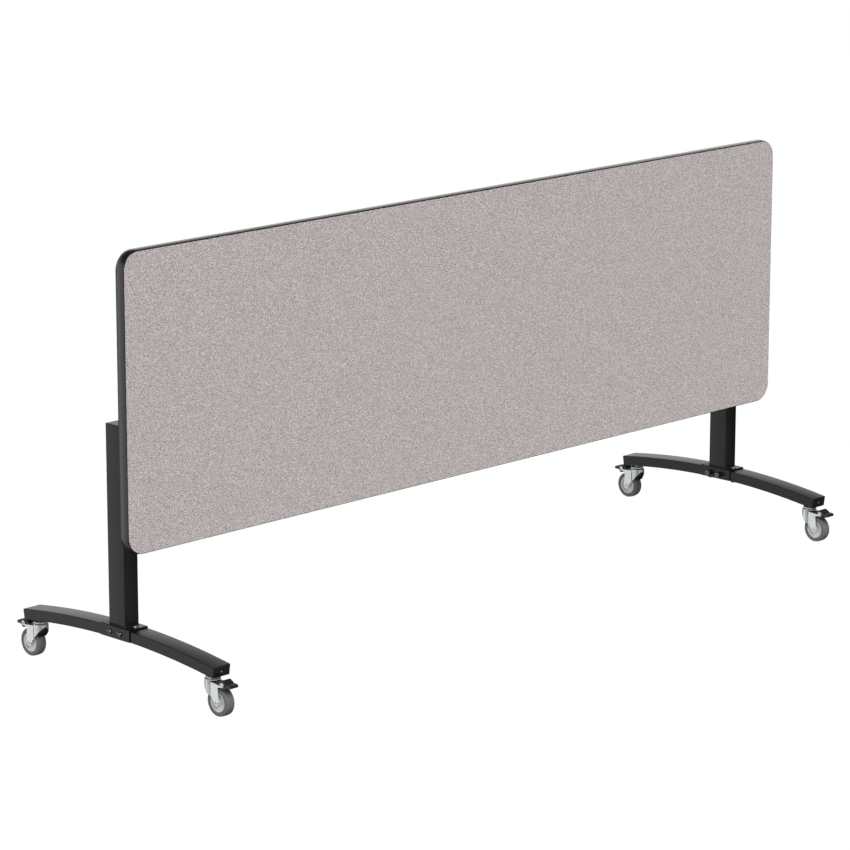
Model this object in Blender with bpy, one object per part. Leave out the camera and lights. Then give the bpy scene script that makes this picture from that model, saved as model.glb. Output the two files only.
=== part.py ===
"""Mobile screen panel that tilts on two arched legs, modelled in metres with +Z up.

X runs along the panel, -Y is the side its decorative face looks to, and the origin
lies on the floor under the middle of the legs. Every named object is one real piece.
"""
import math

import bmesh
import bpy
from mathutils import Vector

GAP = 0.0003                       # clearance between pieces that touch

# Panel, standing upright in front of the columns
PANEL_LENGTH = 2.4384
PANEL_HEIGHT = 0.762
PANEL_THICKNESS = 0.03175
PANEL_BOTTOM_Z = 0.3628
PANEL_FRONT_Y = -0.1073
PANEL_CORNER = 0.050
BAND_WIDTH = 0.0035                # edge band outside the board
BAND_ROUND = 0.0035                # its rounded front and back edges
BAND_TONGUE = 0.009                # spline pressed into the board's groove
TONGUE_THICKNESS = 0.003
SHEET_THICKNESS = 0.0009           # laminate on each face
PANEL_BACK_Y = PANEL_FRONT_Y + PANEL_THICKNESS
PANEL_MID_Z = PANEL_BOTTOM_Z + PANEL_HEIGHT / 2

# Tilt axis
PIVOT_Y = -0.056
PIVOT_Z = 0.686
PIVOT_RADIUS = 0.006
BOSS_RADIUS = 0.0135

# Legs
LEG_X = 1.1454                     # middle of each leg
COLUMN_WIDTH = 0.045
COLUMN_DEPTH = 0.0615
COLUMN_TOP_Z = 0.670
COLUMN_CORNER = 0.0025
WALL = 0.002
FOOT_WIDTH = 0.0556
FOOT_HEIGHT = 0.0287
FOOT_TOP_Z = 0.155                 # top of the arch
FOOT_ARC_RADIUS = 2.477
FOOT_HALF_ANGLE = math.radians(8.38)
FOOT_CORNER = 0.0025
FOOT_STEPS = 12
SADDLE_HALF_LENGTH = 0.0545
SADDLE_PLATE = 0.003
SIDE_BOLT_Y = 0.0185
DOWN_BOLT_Y = 0.043
BOLT_RADIUS = 0.004
BOLT_HEAD_RADIUS = 0.007
BOLT_HEAD_HEIGHT = 0.0042
NUT_RADIUS = 0.0075                # round sleeve nut
NUT_HEIGHT = 0.0145
NUT_SOCKET_RADIUS = 0.003

# Cross beam and tilt fittings
BEAM_BOTTOM_Z = 0.500
BEAM_HEIGHT = 0.050
BEAM_DEPTH = 0.030
BEAM_FLANGE_HEIGHT = 0.084
BEAM_FLANGE_DEPTH = 0.050
BEAM_FLANGE_THICKNESS = 0.004
BRACKET_PLATE = 0.003
LATCH_DISC = 0.0045
LATCH_BAR_RADIUS = 0.006
LATCH_OFFSET = 0.032               # latch bar from the tilt axis
EAR_THICKNESS = 0.0045
HINGE_BASE_THICKNESS = 0.003
HINGE_BASE_LENGTH = 0.056
HINGE_BASE_HALF_HEIGHT = 0.060
HANDLE_LENGTH = 0.085
HANDLE_WIDTH = 0.032

# Castors, in a local frame: +Y is the side the wheel trails to, z is above the floor
SWIVEL_Y = 0.330                   # swivel axis from the middle of the foot
TRAIL = 0.0285
WHEEL_RADIUS = 0.037
WHEEL_WIDTH = 0.026
HUB_RADIUS = 0.0255
AXLE_RADIUS = 0.0040
CROWN_RADIUS = 0.0212
CROWN_TOP_Z = 0.092
FORK_HALF_WIDTH = 0.0166
FORK_WALL = 0.002
PEDAL_PIN_Y = 0.049
PEDAL_PIN_Z = 0.085
PEDAL_PIN_RADIUS = 0.0025
PEDAL_HALF_WIDTH = 0.0135
SHOE_PIN_Y = 0.004
SHOE_PIN_Z = 0.0835
SHOE_PIN_RADIUS = 0.0018
SHOE_HALF_WIDTH = 0.0128
SHOE_CLEARANCE = 0.0007            # inside the fork's round nose
STEM_RADIUS = 0.005
STEM_TOP_Z = 0.120

COLLECTION = bpy.context.scene.collection


def clear_scene():
    """Remove every object that is in the scene already."""
    for item in list(bpy.data.objects):
        bpy.data.objects.remove(item, do_unlink=True)


def material(name, color, roughness, metallic=0.0):
    """Make a plain Principled material."""
    made = bpy.data.materials.new(name)
    made.use_nodes = True
    shader = made.node_tree.nodes["Principled BSDF"]
    shader.inputs["Base Color"].default_value = (*color, 1.0)
    shader.inputs["Roughness"].default_value = roughness
    shader.inputs["Metallic"].default_value = metallic
    return made


def empty(name, location, parent=None, turn=0.0):
    """Make a joint's parent, with its origin on the joint's axis."""
    made = bpy.data.objects.new(name, None)
    made.location = location
    made.rotation_euler = (0.0, 0.0, turn)
    made.parent = parent
    COLLECTION.objects.link(made)
    return made


def finish(name, bm, look, parent=None, location=(0.0, 0.0, 0.0), smooth=False):
    """Turn a bmesh into a named object with outward faces."""
    bmesh.ops.recalc_face_normals(bm, faces=bm.faces)
    mesh = bpy.data.meshes.new(name)
    bm.to_mesh(mesh)
    bm.free()
    if smooth:
        mesh.shade_smooth()
        mesh.set_sharp_from_angle(angle=math.radians(35))
    mesh.materials.append(look)
    made = bpy.data.objects.new(name, mesh)
    made.location = location
    made.parent = parent
    COLLECTION.objects.link(made)
    return made


def loft(loops, ring=False):
    """Join loops of points with quads; close the ends, or join them in a ring."""
    bm = bmesh.new()
    rows = [[bm.verts.new(point) for point in loop] for loop in loops]
    pairs = list(zip(rows, rows[1:]))
    if ring:
        pairs.append((rows[-1], rows[0]))
    else:
        bm.faces.new(rows[0])
        bm.faces.new(list(reversed(rows[-1])))
    for lower, upper in pairs:
        count = len(lower)
        for index in range(count):
            after = (index + 1) % count
            bm.faces.new((lower[index], lower[after], upper[after], upper[index]))
    return bm


def rounded(half_a, half_b, radius, steps):
    """Outline of a rectangle with round corners, anticlockwise."""
    points = []
    centres = ((1, 1), (-1, 1), (-1, -1), (1, -1))
    for quarter, (side_a, side_b) in enumerate(centres):
        for step in range(steps + 1):
            angle = math.pi / 2 * (quarter + step / steps)
            a = side_a * (half_a - radius) + radius * math.cos(angle)
            b = side_b * (half_b - radius) + radius * math.sin(angle)
            points.append((a, b))
    return points


def arc(centre, radius, start, end, steps):
    """Points of an arc, angles in degrees."""
    points = []
    for step in range(steps + 1):
        angle = math.radians(start + (end - start) * step / steps)
        points.append((centre[0] + radius * math.cos(angle), centre[1] + radius * math.sin(angle)))
    return points


def prism(outline, x_low, x_high):
    """Extrude an outline in Y and Z along X."""
    return loft([[(x, y, z) for y, z in outline] for x in (x_low, x_high)])


def upright_prism(outline, z_low, z_high):
    """Extrude an outline in X and Y along Z."""
    return loft([[(x, y, z) for x, y in outline] for z in (z_low, z_high)])


def turned(profile, steps, axis, ring=False):
    """Turn (distance along axis, radius) pairs round the axis."""
    loops = []
    for along, radius in profile:
        loop = []
        for step in range(steps):
            angle = 2 * math.pi * step / steps
            across, up = radius * math.cos(angle), radius * math.sin(angle)
            if axis == "X":
                loop.append((along, across, up))
            else:
                loop.append((across, up, along))
        loops.append(loop)
    return loft(loops, ring)


def boolean(base, operation, cutters):
    """Return base combined with the cutters as a new bmesh; all inputs are used up."""
    shapes = []
    for number, bm in enumerate([base, *cutters]):
        bmesh.ops.recalc_face_normals(bm, faces=bm.faces)
        mesh = bpy.data.meshes.new(f"shape_{number}")
        bm.to_mesh(mesh)
        bm.free()
        shape = bpy.data.objects.new(f"shape_{number}", mesh)
        COLLECTION.objects.link(shape)
        shapes.append(shape)
    for cutter in shapes[1:]:
        step = shapes[0].modifiers.new("step", "BOOLEAN")
        step.operation = operation
        step.solver = "EXACT"
        step.object = cutter
    graph = bpy.context.evaluated_depsgraph_get()
    graph.update()
    result = bmesh.new()
    result.from_mesh(shapes[0].evaluated_get(graph).to_mesh())
    for shape in shapes:
        bpy.data.objects.remove(shape, do_unlink=True)
    bmesh.ops.dissolve_degenerate(result, dist=1e-6, edges=result.edges)
    return result


def moved(bm, offset):
    """Shift a bmesh."""
    bmesh.ops.translate(bm, verts=bm.verts, vec=Vector(offset))
    return bm


def peg(along_low, along_high, radius, steps, axis, centre=(0.0, 0.0)):
    """A plain round cutter or pin along X or Z at a centre in the other two axes."""
    bm = turned([(along_low, radius), (along_high, radius)], steps, axis)
    if axis == "X":
        return moved(bm, (0.0, centre[0], centre[1]))
    return moved(bm, (centre[0], centre[1], 0.0))


def panel_loop(inset, y, steps=6):
    """The panel's outline pulled in by inset, at one depth."""
    half_length = PANEL_LENGTH / 2 - inset
    half_height = PANEL_HEIGHT / 2 - inset
    corner = PANEL_CORNER - inset
    return [(a, y, PANEL_MID_Z + b) for a, b in rounded(half_length, half_height, corner, steps)]


def make_panel(looks, panel):
    """Board, laminate on both faces and the edge band round it."""
    middle = (PANEL_FRONT_Y + PANEL_BACK_Y) / 2
    board_front = PANEL_FRONT_Y + SHEET_THICKNESS + GAP
    board_back = PANEL_BACK_Y - SHEET_THICKNESS - GAP
    edge = BAND_WIDTH + GAP
    deep = BAND_WIDTH + BAND_TONGUE + GAP
    groove = TONGUE_THICKNESS / 2 + GAP
    rows = [(edge, board_front), (edge, middle - groove), (deep, middle - groove),
            (deep, middle + groove), (edge, middle + groove), (edge, board_back)]
    place(loft([panel_loop(inset, y) for inset, y in rows]), "panel_core", looks["board"], panel)

    for name, outer_y, side in (("front_laminate", PANEL_FRONT_Y, 1), ("back_laminate", PANEL_BACK_Y, -1)):
        rows = [(edge, outer_y), (edge, outer_y + side * SHEET_THICKNESS)]
        look = looks["laminate"] if side > 0 else looks["backer"]
        place(loft([panel_loop(inset, y) for inset, y in rows]), name, look, panel)

    rows = []
    for centre_y, start in ((PANEL_FRONT_Y + BAND_ROUND, -90), (PANEL_BACK_Y - BAND_ROUND, 0)):
        for along, out in arc((0.0, 0.0), BAND_ROUND, start, start + 90, 3):
            rows.append((BAND_ROUND - along, centre_y + out))
    tongue = TONGUE_THICKNESS / 2
    rows += [(BAND_WIDTH, middle + tongue), (BAND_WIDTH + BAND_TONGUE, middle + tongue),
             (BAND_WIDTH + BAND_TONGUE, middle - tongue), (BAND_WIDTH, middle - tongue)]
    place(loft([panel_loop(inset, y) for inset, y in rows], ring=True), "edge_band", looks["band"], panel)


def place(bm, name, look, holder, smooth=False):
    """Finish an object whose shape was made in world places, on a holder off the origin."""
    origin = holder.matrix_world.translation if holder else Vector()
    return finish(name, moved(bm, -origin), look, holder, smooth=smooth)


def make_leg(side, name, looks):
    """Column with its cap, arched foot with end caps, and the saddle between them."""
    middle = side * LEG_X
    saddle_top = FOOT_TOP_Z + GAP + SADDLE_PLATE
    column_bottom = saddle_top + GAP
    outer = rounded(COLUMN_WIDTH / 2, COLUMN_DEPTH / 2, COLUMN_CORNER, 2)
    inner = rounded(COLUMN_WIDTH / 2 - WALL, COLUMN_DEPTH / 2 - WALL, 0.001, 2)
    rows = [(outer, column_bottom), (outer, COLUMN_TOP_Z), (inner, COLUMN_TOP_Z), (inner, column_bottom)]
    tube = loft([[(middle + a, b, z) for a, b in shape] for shape, z in rows], ring=True)
    place(tube, f"{name}_column", looks["steel"], None)

    plug = rounded(COLUMN_WIDTH / 2 - WALL - GAP, COLUMN_DEPTH / 2 - WALL - GAP, 0.001, 2)
    eased = rounded(COLUMN_WIDTH / 2 - 0.0008, COLUMN_DEPTH / 2 - 0.0008, COLUMN_CORNER - 0.0008, 2)
    lip = COLUMN_TOP_Z + GAP
    rows = [(plug, lip - 0.012), (plug, lip), (outer, lip), (outer, lip + 0.0014), (eased, lip + 0.0022)]
    cap = loft([[(middle + a, b, z) for a, b in shape] for shape, z in rows])
    place(cap, f"{name}_column_cap", looks["cap"], None)

    make_foot(middle, name, looks)
    make_saddle(middle, name, looks, saddle_top)


def foot_point(middle, across, depth, angle):
    """A point of the arched foot: across it, below its top, and round its arc."""
    radius = FOOT_ARC_RADIUS - depth
    drop = FOOT_TOP_Z - FOOT_ARC_RADIUS
    return (middle + across, radius * math.sin(angle), drop + radius * math.cos(angle))


def make_foot(middle, name, looks):
    """Arched rectangular tube, drilled for the castor stems and bolts, and its end caps."""
    half_height = FOOT_HEIGHT / 2
    outer = rounded(FOOT_WIDTH / 2, half_height, FOOT_CORNER, 1)
    inner = rounded(FOOT_WIDTH / 2 - WALL, half_height - WALL, 0.001, 1)
    angles = [FOOT_HALF_ANGLE * (2 * step / FOOT_STEPS - 1) for step in range(FOOT_STEPS + 1)]
    loops = [[foot_point(middle, a, half_height + b, angle) for a, b in outer] for angle in angles]
    loops += [[foot_point(middle, a, half_height + b, angle) for a, b in inner] for angle in reversed(angles)]
    floor_z = FOOT_TOP_Z - FOOT_HEIGHT / 2
    holes = [peg(0.08, floor_z, STEM_RADIUS + GAP, 12, "Z", (middle, end * SWIVEL_Y)) for end in (-1, 1)]
    holes += [peg(0.11, 0.17, BOLT_RADIUS + GAP, 10, "Z", (middle, end * DOWN_BOLT_Y)) for end in (-1, 1)]
    bolt_z = FOOT_TOP_Z - half_height
    low, high = middle - 0.04, middle + 0.04
    holes += [peg(low, high, BOLT_RADIUS + GAP, 10, "X", (end * SIDE_BOLT_Y, bolt_z)) for end in (-1, 1)]
    tube = boolean(loft(loops, ring=True), "DIFFERENCE", holes)
    place(tube, f"{name}_foot", looks["steel"], None)

    plug = rounded(FOOT_WIDTH / 2 - WALL - GAP, half_height - WALL - GAP, 0.001, 1)
    eased = rounded(FOOT_WIDTH / 2 - 0.001, half_height - 0.001, FOOT_CORNER - 0.001, 1)
    for end, end_name in ((-1, "front"), (1, "rear")):
        face = FOOT_HALF_ANGLE + GAP / FOOT_ARC_RADIUS
        per_metre = 1 / FOOT_ARC_RADIUS
        rows = [(plug, face - 0.012 * per_metre), (plug, face), (outer, face),
                (outer, face + 0.0016 * per_metre), (eased, face + 0.0024 * per_metre)]
        loops = []
        for shape, angle in rows:
            loops.append([foot_point(middle, a, half_height + b, end * angle) for a, b in shape])
        place(loft(loops), f"{name}_{end_name}_foot_cap", looks["cap"], None)


def bolt_profile(head, nut):
    """Half outline of a button-head bolt with its sleeve nut, from the head to the nut's socket."""
    nut_end = nut - NUT_HEIGHT
    return [(head + BOLT_HEAD_HEIGHT, BOLT_HEAD_RADIUS * 0.7),
            (head + BOLT_HEAD_HEIGHT * 0.6, BOLT_HEAD_RADIUS),
            (head, BOLT_HEAD_RADIUS),
            (head, BOLT_RADIUS),
            (nut, BOLT_RADIUS),
            (nut, NUT_RADIUS),
            (nut_end + 0.001, NUT_RADIUS),
            (nut_end, NUT_RADIUS - 0.001),
            (nut_end, NUT_SOCKET_RADIUS),
            (nut_end + 0.005, NUT_SOCKET_RADIUS)]


def make_saddle(middle, name, looks, top_z):
    """Folded plate over the foot, with two bolts through its sides and two through its top."""
    inner = FOOT_WIDTH / 2 + GAP
    outer = inner + SADDLE_PLATE
    bottom = FOOT_TOP_Z - FOOT_HEIGHT + 0.0002
    under = FOOT_TOP_Z + GAP
    bend = 0.0025
    right = [(inner, bottom), (outer, bottom)] + arc((outer - bend, top_z - bend), bend, 0, 90, 3)
    left = [(-a, z) for a, z in reversed(right)]
    outline = right + left + [(-inner, under), (inner, under)]
    ends = (-SADDLE_HALF_LENGTH, SADDLE_HALF_LENGTH)
    plate = loft([[(middle + a, y, z) for a, z in outline] for y in ends])
    bolt_z = FOOT_TOP_Z - FOOT_HEIGHT / 2
    low, high = middle - 0.05, middle + 0.05
    holes = [peg(low, high, BOLT_RADIUS + GAP, 10, "X", (end * SIDE_BOLT_Y, bolt_z)) for end in (-1, 1)]
    holes += [peg(0.11, 0.17, BOLT_RADIUS + GAP, 10, "Z", (middle, end * DOWN_BOLT_Y)) for end in (-1, 1)]
    place(boolean(plate, "DIFFERENCE", holes), f"{name}_saddle", looks["steel"], None)

    outward = math.copysign(1.0, middle)
    reach = outer + GAP
    head_z = top_z + GAP
    nut_z = FOOT_TOP_Z - FOOT_HEIGHT - 0.0008
    for end, end_name in ((-1, "front"), (1, "rear")):
        rows = [(middle + outward * along, radius) for along, radius in bolt_profile(reach, -reach)]
        bolt = turned(rows, 12, "X")
        bolt = moved(bolt, (0.0, end * SIDE_BOLT_Y, bolt_z))
        place(bolt, f"{name}_{end_name}_side_bolt", looks["bolt"], None, smooth=True)

        bolt = turned(bolt_profile(head_z, nut_z), 12, "Z")
        bolt = moved(bolt, (middle, end * DOWN_BOLT_Y, 0.0))
        place(bolt, f"{name}_{end_name}_down_bolt", looks["screw"], None, smooth=True)


def make_beam(looks):
    """Rectangular tube with a flange at each end, between the two columns."""
    reach = LEG_X - COLUMN_WIDTH / 2 - GAP
    inside = reach - BEAM_FLANGE_THICKNESS
    mid_z = BEAM_BOTTOM_Z + BEAM_HEIGHT / 2
    flange = rounded(BEAM_FLANGE_DEPTH / 2, BEAM_FLANGE_HEIGHT / 2, 0.004, 1)
    tube = rounded(BEAM_DEPTH / 2, BEAM_HEIGHT / 2, COLUMN_CORNER, 1)
    bore = rounded(BEAM_DEPTH / 2 - WALL, BEAM_HEIGHT / 2 - WALL, 0.001, 1)
    rows = [(flange, -reach), (flange, -inside), (tube, -inside), (tube, inside), (flange, inside),
            (flange, reach), (bore, reach), (bore, -reach)]
    beam = loft([[(x, a, mid_z + b) for a, b in shape] for shape, x in rows], ring=True)
    place(beam, "cross_beam", looks["steel"], None)


def make_tilt_fittings(side, name, looks, panel):
    """Pivot bracket on the column and hinge plate on the panel, joined by the pivot pin."""
    face = LEG_X - COLUMN_WIDTH / 2 - GAP
    plate_inside = face - BRACKET_PLATE
    disc_inside = plate_inside - LATCH_DISC
    ear_outside = disc_inside - 0.0006
    ear_inside = ear_outside - EAR_THICKNESS
    back = 0.026 - PIVOT_Y
    outline = arc((0.0, 0.0), BOSS_RADIUS, 90, 225, 6)
    outline += [(0.020, -0.052), (0.030, -0.095), (back, -0.095), (back, -0.018), (0.020, BOSS_RADIUS)]
    plate = prism(outline, plate_inside, face)
    rim = LATCH_OFFSET - 0.0006
    corner_angle = math.degrees(math.asin(BOSS_RADIUS / rim))
    sector = [(-BOSS_RADIUS, BOSS_RADIUS), (-BOSS_RADIUS, -rim * math.cos(math.radians(corner_angle)))]
    sector += arc((0.0, 0.0), rim, -90 - corner_angle, corner_angle, 14)[1:]
    disc = prism(sector, disc_inside, plate_inside + 0.0005)
    notch_radius = LATCH_BAR_RADIUS + 0.0006
    notches = [peg(disc_inside - 0.01, plate_inside, notch_radius, 16, "X", centre)
               for centre in ((LATCH_OFFSET, 0.0), (0.0, -LATCH_OFFSET))]
    pin = peg(ear_inside - 0.003, plate_inside + 0.0005, PIVOT_RADIUS, 16, "X")
    bracket = boolean(boolean(plate, "UNION", [disc]), "DIFFERENCE", notches)
    bracket = boolean(bracket, "UNION", [pin])
    place_fitting(bracket, side, f"{name}_pivot_bracket", looks["steel"], None)

    base_back = PANEL_BACK_Y + GAP - PIVOT_Y
    base_front = base_back + HINGE_BASE_THICKNESS
    half = HINGE_BASE_HALF_HEIGHT
    base = [(base_back, -half), (base_front, -half), (base_front, half), (base_back, half)]
    hinge = prism(base, ear_outside - HINGE_BASE_LENGTH, ear_outside - 0.001)
    tip = LATCH_OFFSET + 0.0115
    foot_line = base_back + 0.001
    ear = [(foot_line, -0.040), (0.0012, -0.0165), (LATCH_OFFSET, -0.0115)]
    ear += arc((LATCH_OFFSET, 0.0), tip - LATCH_OFFSET, -90, 90, 6)[1:]
    ear += [(0.0012, 0.0165), (foot_line, 0.040)]
    hinge = boolean(hinge, "UNION", [prism(ear, ear_inside, ear_outside)])
    holes = [peg(ear_inside - 0.01, ear_outside + 0.01, PIVOT_RADIUS + GAP, 16, "X"),
             peg(ear_inside - 0.01, ear_outside + 0.01, LATCH_BAR_RADIUS + GAP, 16, "X", (LATCH_OFFSET, 0.0))]
    hinge = boolean(hinge, "DIFFERENCE", holes)
    place_fitting(hinge, side, f"{name}_hinge_plate", looks["steel"], panel)
    return disc_inside, plate_inside, ear_outside


def place_fitting(bm, side, name, look, holder):
    """Put a fitting modelled for the right leg, about the tilt axis, on either leg."""
    if side < 0:
        bmesh.ops.scale(bm, verts=bm.verts, vec=(-1.0, 1.0, 1.0))
    place(moved(bm, (0.0, PIVOT_Y, PIVOT_Z)), name, look, holder)


def make_release(looks, release, disc_inside, plate_inside, ear_outside):
    """Latch bar along the panel, its half-round ends, and the handle on its middle."""
    end = plate_inside - 0.0006
    bar = peg(-end, end, LATCH_BAR_RADIUS, 16, "X")
    flat_start = ear_outside + 0.0002
    cuts = [prism([(-0.01, -0.01), (0.0003, -0.01), (0.0003, 0.01), (-0.01, 0.01)], low, high)
            for low, high in ((flat_start, end + 0.01), (-end - 0.01, -flat_start))]
    finish("release_bar", boolean(bar, "DIFFERENCE", cuts), looks["zinc"], release, smooth=True)

    half = HANDLE_WIDTH / 2
    hub = 0.0115
    outline = arc((0.0, 0.0), hub, -35, 215, 10)
    outline += [(0.001, -0.032), (0.006, -HANDLE_LENGTH), (0.010, -HANDLE_LENGTH),
                (0.013, -HANDLE_LENGTH + 0.006), (0.008, -0.030)]
    handle = prism(outline, -half, half)
    bore = peg(-half - 0.01, half + 0.01, LATCH_BAR_RADIUS + GAP, 16, "X")
    finish("release_handle", boolean(handle, "DIFFERENCE", [bore]), looks["nylon"], release)


def fork_outline():
    """Side view of the fork in the castor's frame: crown, pedal arm and tapering leg."""
    axle = (TRAIL, WHEEL_RADIUS)
    pin = (PEDAL_PIN_Y, PEDAL_PIN_Z)
    outline = [(-0.024, CROWN_TOP_Z + 0.002), (0.009, CROWN_TOP_Z + 0.002), (0.0125, 0.0885), (0.041, 0.0855)]
    outline += arc(pin, 0.0052, 135, -100, 6)
    outline += [(0.0405, 0.0795), (0.0372, 0.0765), (0.0362, 0.060)]
    outline += arc(axle, 0.0090, 5, -140, 6)
    outline += [(0.0125, 0.0465), (0.0035, 0.0535), (-0.006, 0.063), (-0.0135, 0.074), (-0.024, 0.081)]
    return outline


def nose_plan(radius, half_width):
    """Top view of the fork or its hollow: a round nose, then straight sides."""
    meet = math.degrees(math.asin(half_width / radius))
    nose = arc((0.0, 0.0), radius, 270 - meet, 270 + meet, 10)
    return [(-half_width, 0.060)] + nose + [(half_width, 0.060)]


def make_fork(looks, name, swivel):
    """Pressed fork: round crown, two legs, cross pins for pedal and shoe, holes for stem and axle."""
    half = FORK_HALF_WIDTH
    shell = upright_prism(nose_plan(CROWN_RADIUS, half), 0.020, CROWN_TOP_Z)
    hollow_plan = nose_plan(CROWN_RADIUS - FORK_WALL, half - FORK_WALL)
    hollow = upright_prism(hollow_plan, 0.010, CROWN_TOP_Z - FORK_WALL)
    open_end = prism([(0.030, 0.010), (0.070, 0.010), (0.070, 0.110), (0.030, 0.110)],
                     -(half - FORK_WALL), half - FORK_WALL)
    fork = boolean(shell, "DIFFERENCE", [hollow, open_end])
    fork = boolean(fork, "INTERSECT", [prism(fork_outline(), -0.04, 0.04)])
    holes = [peg(0.05, 0.11, STEM_RADIUS + GAP, 12, "Z"),
             peg(-0.04, 0.04, AXLE_RADIUS + GAP, 10, "X", (TRAIL, WHEEL_RADIUS))]
    fork = boolean(fork, "DIFFERENCE", holes)
    pin_reach = half + 0.0010
    shoe_reach = CROWN_RADIUS - 0.0012
    pins = [peg(-pin_reach, pin_reach, PEDAL_PIN_RADIUS, 8, "X", (PEDAL_PIN_Y, PEDAL_PIN_Z)),
            peg(-shoe_reach, shoe_reach, SHOE_PIN_RADIUS, 8, "X", (SHOE_PIN_Y, SHOE_PIN_Z))]
    fork = boolean(fork, "UNION", pins)
    finish(f"{name}_fork", fork, looks["zinc"], swivel, smooth=True)


def make_pedal(looks, name, swivel):
    """Two-step foot pedal on the pin at the end of the fork's arms, its inner end under the shoe's lever."""
    pin = empty(f"{name}_pedal_axis", (0.0, PEDAL_PIN_Y, PEDAL_PIN_Z), swivel)
    outline = [(-0.0235, -0.0041), (-0.0186, -0.0041), (-0.0184, 0.0030), (-0.0080, 0.0085),
               (-0.0010, 0.0110), (0.0020, 0.0108), (0.0095, 0.0065), (0.0125, 0.0030),
               (0.0250, 0.0035), (0.0290, 0.0015), (0.0300, -0.0015), (0.0270, -0.0035),
               (0.0120, -0.0060), (0.0080, -0.0105), (0.0030, -0.0130), (-0.0040, -0.0110),
               (-0.0100, -0.0086), (-0.0232, -0.0086)]
    pedal = prism(outline, -PEDAL_HALF_WIDTH, PEDAL_HALF_WIDTH)
    bore = peg(-0.03, 0.03, PEDAL_PIN_RADIUS + GAP, 12, "X")
    finish(f"{name}_brake_pedal", boolean(pedal, "DIFFERENCE", [bore]), looks["nylon"], pin)


def make_shoe(looks, name, swivel):
    """Curved brake shoe under the crown: a lever over the wheel and a tail beside the tread."""
    pin = empty(f"{name}_shoe_axis", (0.0, SHOE_PIN_Y, SHOE_PIN_Z), swivel)
    centre = (TRAIL - SHOE_PIN_Y, WHEEL_RADIUS - SHOE_PIN_Z)
    inner = arc(centre, WHEEL_RADIUS + 0.0036, 106, 157, 7)
    tail = [(-0.0155, -0.0265), (-0.0190, -0.0175), (-0.0200, -0.0080), (-0.0150, -0.0020), (-0.0040, 0.0030)]
    lever = [(0.0246, 0.0030), (0.0246, -0.0015), (0.0185, -0.0015)]
    outline = inner + tail + lever
    inside = upright_prism(nose_plan(CROWN_RADIUS - FORK_WALL - SHOE_CLEARANCE, SHOE_HALF_WIDTH), -0.1, 0.1)
    shoe = boolean(prism(outline, -0.03, 0.03), "INTERSECT", [moved(inside, (0.0, -SHOE_PIN_Y, 0.0))])
    bore = peg(-0.03, 0.03, SHOE_PIN_RADIUS + GAP, 10, "X")
    finish(f"{name}_brake_shoe", boolean(shoe, "DIFFERENCE", [bore]), looks["nylon"], pin)


def make_wheel(looks, name, swivel):
    """Axle fixed in the fork; hub and tyre that spin on it."""
    wheel = empty(f"{name}_wheel_axis", (0.0, TRAIL, WHEEL_RADIUS), swivel)
    outside = FORK_HALF_WIDTH + GAP
    rows = [(-outside - 0.0012, 0.0045), (-outside, 0.0056), (-outside, AXLE_RADIUS),
            (outside, AXLE_RADIUS), (outside, 0.0056), (outside + 0.0012, 0.0045)]
    finish(f"{name}_axle", turned(rows, 10, "X"), looks["zinc"], wheel, smooth=True)

    half = WHEEL_WIDTH / 2
    bore = AXLE_RADIUS + 0.0002
    rows = [(-0.0142, bore), (-0.0142, 0.0075), (-0.0105, 0.0085), (-0.0095, HUB_RADIUS - 0.003),
            (-half + 0.0012, HUB_RADIUS)]
    rows += [(-along, radius) for along, radius in reversed(rows)]
    finish(f"{name}_hub", turned(rows, 20, "X", ring=True), looks["hub"], wheel, smooth=True)

    inner = HUB_RADIUS + GAP
    rows = [(-half, inner), (-half, WHEEL_RADIUS - 0.0075), (-half + 0.0020, WHEEL_RADIUS - 0.0030),
            (-half + 0.0065, WHEEL_RADIUS - 0.0004), (-0.0030, WHEEL_RADIUS)]
    rows += [(-along, radius) for along, radius in reversed(rows)]
    finish(f"{name}_tyre", turned(rows, 28, "X", ring=True), looks["tyre"], wheel, smooth=True)


def make_castor(side, end, name, looks):
    """One braked swivel castor under the end of a foot, its wheel trailing outwards."""
    turn = 0.0 if end > 0 else math.pi
    swivel = empty(f"{name}_swivel_axis", (side * LEG_X, end * SWIVEL_Y, 0.0), turn=turn)
    bpy.context.view_layer.update()

    plate = CROWN_TOP_Z + 0.0006
    rows = [(plate, 0.0185), (plate + 0.0042, 0.0200), (plate + 0.0058, 0.0175), (plate + 0.0062, 0.0085),
            (plate + 0.0092, 0.0075), (plate + 0.0092, STEM_RADIUS), (STEM_TOP_Z, STEM_RADIUS)]
    finish(f"{name}_castor_head", turned(rows, 16, "Z"), looks["zinc"], swivel, smooth=True)
    make_fork(looks, name, swivel)
    make_wheel(looks, name, swivel)
    make_pedal(looks, name, swivel)
    make_shoe(looks, name, swivel)


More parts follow.
